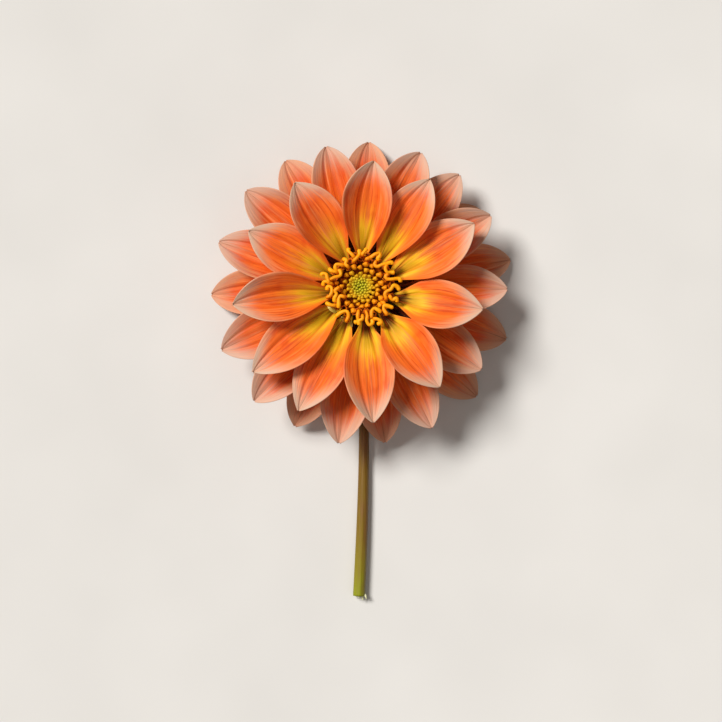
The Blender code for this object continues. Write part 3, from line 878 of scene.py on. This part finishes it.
def grow_cut_fibres(looks):
    """Pale fibres that the knife left at the cut end."""
    place, radius = stem_route()[0]
    pile = Pile()
    for x, z, lean, length in FIBRES:
        root = Vector((place.x + x * radius * 0.92, place.y + 0.5 * MM, place.z + z * radius))
        tip = root + Vector((lean * length, -length - 0.4, 0.15)) * MM
        bend = (root + tip) / 2 + Vector((0.1, 0, 0.12)) * MM
        path = smooth_path([root, bend, tip], 5)
        count = len(path)
        radii = [FIBRE_RADIUS * (1 - 0.6 * number / (count - 1)) for number in range(count)]
        add_cord(pile, path, radii, 0, x, sides=8, flat=0.5)
    obj = pile.piece("cut_fibres", looks, Matrix.Identity(4))
    place_piece(obj, "stem")


# Materials --------------------------------------


class Shading:
    """A material's node tree, with short calls for the nodes that the looks are built from."""

    def __init__(self, name, roughness, specular=0.3):
        self.material = bpy.data.materials.new(name)
        self.material.use_nodes = True
        self.tree = self.material.node_tree
        self.shader = self.tree.nodes["Principled BSDF"]
        self.shader.inputs["Roughness"].default_value = roughness
        self.shader.inputs["Specular IOR Level"].default_value = specular

    def feed(self, socket, value):
        if isinstance(value, bpy.types.NodeSocket):
            self.tree.links.new(value, socket)
        else:
            socket.default_value = value

    def node(self, kind, inputs=None, **settings):
        """A new node with these settings, whose inputs are fed values or other nodes' outputs."""
        made = self.tree.nodes.new(kind)
        for key, value in settings.items():
            setattr(made, key, value)
        for key, value in (inputs or {}).items():
            self.feed(made.inputs[key], value)
        return made

    def math(self, operation, first, second=0.0):
        return self.node("ShaderNodeMath", {0: first, 1: second}, operation=operation).outputs[0]

    def times(self, first, second):
        return self.math("MULTIPLY", first, second)

    def plus(self, first, second):
        return self.math("ADD", first, second)

    def swing(self, noise, spread):
        """Noise centred on 0, this far from its lowest to its highest."""
        return self.times(self.math("SUBTRACT", noise, 0.5), spread)

    def smooth(self, low, high, value):
        """0 at low, 1 at high, and a smooth rise between them."""
        inputs = {"Value": value, "From Min": low, "From Max": high}
        return self.node("ShaderNodeMapRange", inputs, interpolation_type="SMOOTHSTEP").outputs["Result"]

    def mix(self, factor, first, second, blend="MIX"):
        inputs = {0: factor, 6: first, 7: second}
        return self.node("ShaderNodeMix", inputs, data_type="RGBA", blend_type=blend).outputs[2]

    def tint(self, base, colour, strength, mask):
        """The base with a colour laid over it, this strongly where the mask is 1."""
        return self.mix(self.times(mask, strength), base, (*colour, 1))

    def ramp(self, factor, stops):
        """A colour ramp through these (position, colour) stops."""
        made = self.node("ShaderNodeValToRGB", {0: factor})
        elements = made.color_ramp.elements
        while len(elements) < len(stops):
            elements.new(1)
        for element, (position, colour) in zip(elements, stops):
            element.position = position
            element.color = (*colour, 1)
        return made.outputs[0]

    def noise(self, stretch, detail=3.0, roughness=0.55):
        """Noise along the surface's grain, whose millimetres are stretched along each axis."""
        grain = self.node("ShaderNodeAttribute", attribute_name="grain").outputs["Vector"]
        place = self.node("ShaderNodeVectorMath", {0: grain, 1: stretch}, operation="MULTIPLY").outputs[0]
        inputs = {"Vector": place, "Scale": 1, "Detail": detail, "Roughness": roughness}
        return self.node("ShaderNodeTexNoise", inputs).outputs["Fac"]

    def place(self, uv_map):
        """(u, v) of a UV map."""
        source = self.node("ShaderNodeUVMap", uv_map=uv_map).outputs[0]
        made = self.node("ShaderNodeSeparateXYZ", {0: source})
        return made.outputs[0], made.outputs[1]

    def roughness(self, low, high, value):
        made = self.node("ShaderNodeMapRange", {"Value": value, "To Min": low, "To Max": high})
        self.feed(self.shader.inputs["Roughness"], made.outputs["Result"])

    def colour(self, base):
        """The finished material, in this colour."""
        self.feed(self.shader.inputs["Base Color"], base)
        return self.material

    def finish(self, base, height, strength, distance):
        """The finished material, in this colour and with this relief."""
        inputs = {"Height": height, "Strength": strength, "Distance": distance}
        self.feed(self.shader.inputs["Normal"], self.node("ShaderNodeBump", inputs).outputs[0])
        return self.colour(base)


def petal_sides(look):
    """(distance from the midline from 0 to 1, share along the petal)."""
    u, v = look.place("PetalUV")
    centred = look.math("SUBTRACT", u, 0.5)
    return look.math("ABSOLUTE", look.times(centred, 2.0)), v


# Colours of a petal's face from its throat to its tip. Each starts near black at the claw, partly the
# claw's own dark colour and partly painted shade of the disc over it. The second, for the middle and
# back whorls, stays dark further out, partly in its own maroon and partly as painted shade of the
# petals over it, and its blade is dimmer, as painted shade.
YELLOW_THROAT = (
    (0.0, (0.06, 0.01, 0.001)),
    (0.11, (0.22, 0.1, 0.003)),
    (0.2, (0.68, 0.41, 0.011)),
    (0.35, (0.88, 0.49, 0.018)),
    (0.47, (0.93, 0.28, 0.018)),
    (0.62, (0.91, 0.165, 0.016)),
    (0.84, (0.88, 0.16, 0.026)),
    (1.0, (0.82, 0.25, 0.1)),
)
MAROON_AND_PAINTED_SHADE_THROAT = (
    (0.0, (0.03, 0.002, 0.001)),
    (0.22, (0.06, 0.004, 0.001)),
    (0.36, (0.34, 0.05, 0.003)),
    (0.5, (0.78, 0.16, 0.011)),
    (0.62, (0.82, 0.14, 0.014)),
    (0.82, (0.72, 0.135, 0.028)),
    (1.0, (0.62, 0.22, 0.1)),
)


def blade_colour(look, stops, side, along, streaks, fine):
    """A petal's throat, which runs out in streaks, and its blade, with a darker keel, veins, groove and
    heart and with lighter and deeper blotches."""
    blotch = look.noise((0.22, 0.12, 1), 2)
    outward = look.times(look.smooth(0.3, 0.95, side), 0.36)
    warped = look.plus(look.plus(along, look.swing(streaks, 0.34)), outward)
    base = look.ramp(warped, stops)
    keel = look.times(look.smooth(0.42, 0.1, side), look.smooth(0.45, 0.2, along))
    base = look.mix(look.times(keel, 0.45), base, (0.52, 0.4, 0.05, 1), "MULTIPLY")
    deep = look.times(look.smooth(0.48, 0.7, fine), look.smooth(0.2, 0.5, along))
    base = look.tint(base, (0.5, 0.03, 0.004), 0.75, deep)
    base = look.tint(base, (0.95, 0.25, 0.035), 0.25, look.smooth(0.5, 0.75, blotch))
    ember = look.times(look.smooth(0.5, 0.3, blotch), look.smooth(0.35, 0.55, warped))
    base = look.tint(base, (0.68, 0.065, 0.008), 0.6, ember)
    off_groove = look.math("ABSOLUTE", look.math("SUBTRACT", side, GROOVE_PLACE))
    base = look.tint(base, (0.55, 0.06, 0.008), 0.4, look.smooth(0.13, 0.0, off_groove))
    heart = look.times(look.smooth(0.3, 0.02, side), look.smooth(0.3, 0.55, along))
    heart = look.times(heart, look.smooth(0.35, 0.62, streaks))
    return look.tint(base, (0.42, 0.05, 0.012), 0.55, heart)


def tip_colour(look, base, cream, creaminess, side, along, streaks, fine):
    """Cream on a petal's tip, light streaks, painted shade in the crease of the folded tip and a paler
    margin.
    """
    shoulder = look.times(look.times(side, side), 0.14)
    frayed = look.plus(look.plus(along, look.swing(fine, 0.3)), shoulder)
    base = look.tint(base, cream, creaminess, look.smooth(0.76, 1.06, frayed))
    base = look.tint(base, (0.96, 0.42, 0.16), 0.3, look.smooth(0.5, 0.72, streaks))
    # Painted shade along the midline crease of the folded tip.
    line = look.times(look.smooth(0.05, 0.0, side), look.smooth(0.8, 0.95, along))
    base = look.tint(base, (0.22, 0.09, 0.03), 0.6, line)
    margin = look.times(look.smooth(0.9, 1.0, side), look.smooth(0.2, 0.7, along))
    return look.tint(base, (0.76, 0.38, 0.22), 0.3, margin)


def petal_face(name, stops, cream, creaminess):
    """A petal's face, coloured along its length and finely grooved by its veins."""
    look = Shading(name, 0.5, 0.12)
    side, along = petal_sides(look)
    streaks = look.noise((1.15, 0.045, 1), 4, 0.6)
    fine = look.noise((2.3, 0.07, 1), 3, 0.6)
    base = blade_colour(look, stops, side, along, streaks, fine)
    base = tip_colour(look, base, cream, creaminess, side, along, streaks, fine)
    look.roughness(0.42, 0.6, streaks)
    relief = look.plus(look.times(streaks, 0.6), look.times(fine, 0.4))
    return look.finish(base, relief, 0.5, 0.5 * MM)


def petal_back():
    """A petal's back and rim: paler, matt, pinkish, with a green-yellow claw."""
    look = Shading("petal_back", 0.6, 0.2)
    _, along = petal_sides(look)
    streaks = look.noise((1.3, 0.05, 1), 4, 0.6)
    base = look.ramp(look.plus(along, look.swing(streaks, 0.3)), (
        (0.0, (0.35, 0.27, 0.03)),
        (0.15, (0.72, 0.4, 0.06)),
        (0.4, (0.8, 0.26, 0.07)),
        (0.75, (0.8, 0.23, 0.1)),
        (0.95, (0.84, 0.42, 0.25)),
    ))
    base = look.tint(base, (0.72, 0.13, 0.05), 0.35, look.smooth(0.52, 0.7, streaks))
    return look.finish(base, streaks, 0.6, 0.5 * MM)


def floret_material(name, stops, mottle, ripe, roughness):
    """A floret's skin: a ramp from its foot to its tip, mottled with a darker tone, and tinted where
    the florets of its ring are ripest."""
    look = Shading(name, roughness, 0.18)
    ripeness, along = look.place("PartUV")
    spots = look.noise((1.6, 1.6, 1.6), 3)
    base = look.ramp(look.plus(along, look.swing(spots, 0.3)), stops)
    base = look.tint(base, mottle, 0.45, look.smooth(0.48, 0.75, spots))
    ripening = look.times(look.smooth(0.2, 1.0, ripeness), look.smooth(0.3, 1.0, along))
    base = look.tint(base, ripe, 0.88, ripening)
    return look.finish(base, look.noise((5, 5, 5), 2), 0.35, 0.2 * MM)


def gap_material(name, dark, light):
    """The depth between the florets, dark partly in their own colour and partly as painted shade."""
    look = Shading(name, 0.9, 0.0)
    spots = look.noise((1.2, 1.2, 1.2), 3)
    return look.finish(look.ramp(spots, ((0.3, dark), (0.7, light))), spots, 0.5, 0.3 * MM)


def scale_material():
    """A chaffy scale: dry, green-yellow at its root and cream at its tip."""
    look = Shading("chaffy_scale", 0.6, 0.1)
    _, along = petal_sides(look)
    streaks = look.noise((2.5, 2.5, 0.4), 3)
    base = look.ramp(along, (
        (0.0, (0.34, 0.26, 0.02)),
        (0.5, (0.6, 0.46, 0.09)),
        (1.0, (0.8, 0.68, 0.28)),
    ))
    base = look.tint(base, (0.5, 0.34, 0.05), 0.5, streaks)
    return look.finish(base, streaks, 0.4, 0.1 * MM)


def bract_material(name, dark, light):
    """One face of a bract: veined between two greens, with a brown rim."""
    look = Shading(name, 0.5, 0.35)
    side, along = petal_sides(look)
    veins = look.noise((2.2, 0.12, 1), 4)
    base = look.mix(look.smooth(0.35, 0.7, veins), (*dark, 1), (*light, 1))
    rim = look.smooth(0.8, 1.0, look.math("MAXIMUM", side, along))
    base = look.tint(base, (0.36, 0.25, 0.08), 0.6, rim)
    return look.finish(base, veins, 0.5, 0.3 * MM)


def stem_skin():
    """The stem's skin: yellow-green at the cut, brown-olive along its length, olive near the head."""
    look = Shading("stem_skin", 0.42, 0.25)
    _, along = look.place("StemUV")
    fibres = look.noise((1.8, 0.06, 1.8), 4, 0.6)
    blush = look.noise((0.25, 0.05, 0.25), 2)
    base = look.ramp(look.plus(along, look.swing(fibres, 0.16)), (
        (0.0, (0.25, 0.27, 0.008)),
        (0.07, (0.24, 0.2, 0.008)),
        (0.2, (0.2, 0.12, 0.007)),
        (0.45, (0.15, 0.068, 0.007)),
        (0.6, (0.1, 0.058, 0.008)),
        (0.72, (0.085, 0.065, 0.008)),
        (1.0, (0.1, 0.12, 0.02)),
    ))
    base = look.tint(base, (0.33, 0.22, 0.045), 0.4, look.smooth(0.5, 0.7, fibres))
    base = look.tint(base, (0.19, 0.06, 0.03), 0.4, look.smooth(0.5, 0.7, blush))
    look.roughness(0.36, 0.52, fibres)
    return look.finish(base, fibres, 0.5, 0.3 * MM)


def pith():
    """The pale, spotted tissue inside the stem."""
    look = Shading("stem_pith", 0.6, 0.2)
    spots = look.noise((3, 3, 3), 4)
    base = look.ramp(spots, ((0.3, (0.56, 0.58, 0.24)), (0.7, (0.84, 0.82, 0.6))))
    return look.finish(base, spots, 0.7, 0.2 * MM)


def floor_material():
    look = Shading("pale_floor", 0.85, 0.1)
    place = look.node("ShaderNodeTexCoord").outputs["Object"]
    clouds = look.node("ShaderNodeTexNoise", {"Vector": place, "Scale": 18}).outputs["Fac"]
    return look.colour(look.ramp(clouds, ((0.3, (0.7, 0.69, 0.67)), (0.7, (0.74, 0.73, 0.71)))))


def petal_looks():
    """The looks of the petals' faces, each with that of their backs."""
    back = petal_back()
    faces = (
        ("yellow_throat", YELLOW_THROAT, (0.63, 0.465, 0.35), 0.92),
        ("maroon_and_painted_shade_throat", MAROON_AND_PAINTED_SHADE_THROAT, (0.64, 0.43, 0.33), 0.88),
        # The back whorl's tips get less and dimmer cream, as painted shade.
        ("back_petal", MAROON_AND_PAINTED_SHADE_THROAT, (0.64, 0.36, 0.24), 0.84),
    )
    return {face[0]: (petal_face(*face), back) for face in faces}


def disc_looks():
    """The looks of the florets, of the depths between them and of the chaffy scales."""
    green = (
        (0.0, (0.2, 0.14, 0.004)),
        (0.5, (0.36, 0.29, 0.008)),
        (0.8, (0.5, 0.46, 0.014)),
        (1.0, (0.62, 0.6, 0.045)),
    )
    # The closed buds run to near black at their feet, and the tubes do so at their feet and down inside
    # their mouths. This is partly the florets' own colour and partly painted shade down among them.
    closed = (
        (0.0, (0.14, 0.012, 0.001)),
        (0.42, (0.36, 0.07, 0.002)),
        (0.6, (0.6, 0.24, 0.005)),
        (1.0, (0.7, 0.44, 0.012)),
    )
    arm = ((0.0, (0.76, 0.14, 0.003)), (0.2, (0.95, 0.31, 0.004)), (1.0, (0.98, 0.43, 0.006)))
    tube = ((0.0, (0.09, 0.008, 0.001)), (0.6, (0.3, 0.045, 0.002)), (1.0, (0.66, 0.16, 0.004)))
    return {
        "green": floret_material("green_floret", green, (0.46, 0.38, 0.01), (0.7, 0.4, 0.01), 0.5),
        "closed": floret_material("closed_floret", closed, (0.56, 0.19, 0.003), (0.91, 0.3, 0.004), 0.45),
        "arm": floret_material("stigma_arm", arm, (0.92, 0.21, 0.003), (0.98, 0.41, 0.005), 0.42),
        "tube": floret_material("floret_tube", tube, (0.3, 0.04, 0.002), (0.6, 0.14, 0.003), 0.5),
        "gap": gap_material("floret_gap", (0.22, 0.028, 0.001), (0.44, 0.085, 0.003)),
        "green_gap": gap_material("green_floret_gap", (0.2, 0.14, 0.004), (0.32, 0.24, 0.006)),
        "scale": scale_material(),
    }


# The studio -------------------------------------


def add_floor():
    mesh = bpy.data.meshes.new("floor")
    corner_signs = ((-1, -1), (1, -1), (1, 1), (-1, 1))
    mesh.from_pydata([(x * FLOOR_REACH, y * FLOOR_REACH, 0) for x, y in corner_signs], [], [(0, 1, 2, 3)])
    mesh.materials.append(floor_material())
    floor = add_object("floor", mesh)


def add_light(data, direction, colour):
    """Places a light in this direction from the head, turned towards it."""
    data.color = colour
    light = add_object(data.name, data)
    light.location = HEAD.translation + Vector(direction)
    light.rotation_euler = (-Vector(direction)).to_track_quat("-Z", "Y").to_euler()


def add_studio():
    """A broad, far key light on the upper left, a weak fill overhead and a dim, warm world."""
    key = bpy.data.lights.new("key", "SUN")
    key.energy = 3.75
    key.angle = radians(21)
    add_light(key, KEY_DIRECTION, (1.0, 0.97, 0.93))
    fill = bpy.data.lights.new("fill", "AREA")
    fill.shape = "DISK"
    fill.size = 1.2
    fill.energy = 2
    add_light(fill, FILL_DIRECTION, (1.0, 0.97, 0.94))
    world = bpy.data.worlds.new("studio")
    world.use_nodes = True
    background = world.node_tree.nodes["Background"]
    background.inputs["Color"].default_value = (0.94, 0.87, 0.8, 1)
    background.inputs["Strength"].default_value = 0.15
    bpy.context.scene.world = world


def add_camera():
    """A camera over the flower, looking straight down."""
    data = bpy.data.cameras.new("camera")
    data.lens = CAMERA_LENS
    data.clip_end = 100
    camera = add_object("camera", data)
    camera.location = HEAD.translation + Vector((0, CAMERA_SHIFT_Y, CAMERA_HEIGHT))
    bpy.context.scene.camera = camera


bpy.context.scene.view_settings.view_transform = "Standard"
add_camera()
add_studio()
add_floor()
grow_petals(petal_looks())
grow_disc(disc_looks())
for each in BRACT_RINGS:
    face = bract_material(each.name + "_face", *each.face)
    grow_bracts(each, (face, bract_material(each.name + "_back", *each.back)))
grow_stem((stem_skin(), pith()))
grow_cut_fibres((pith(),))
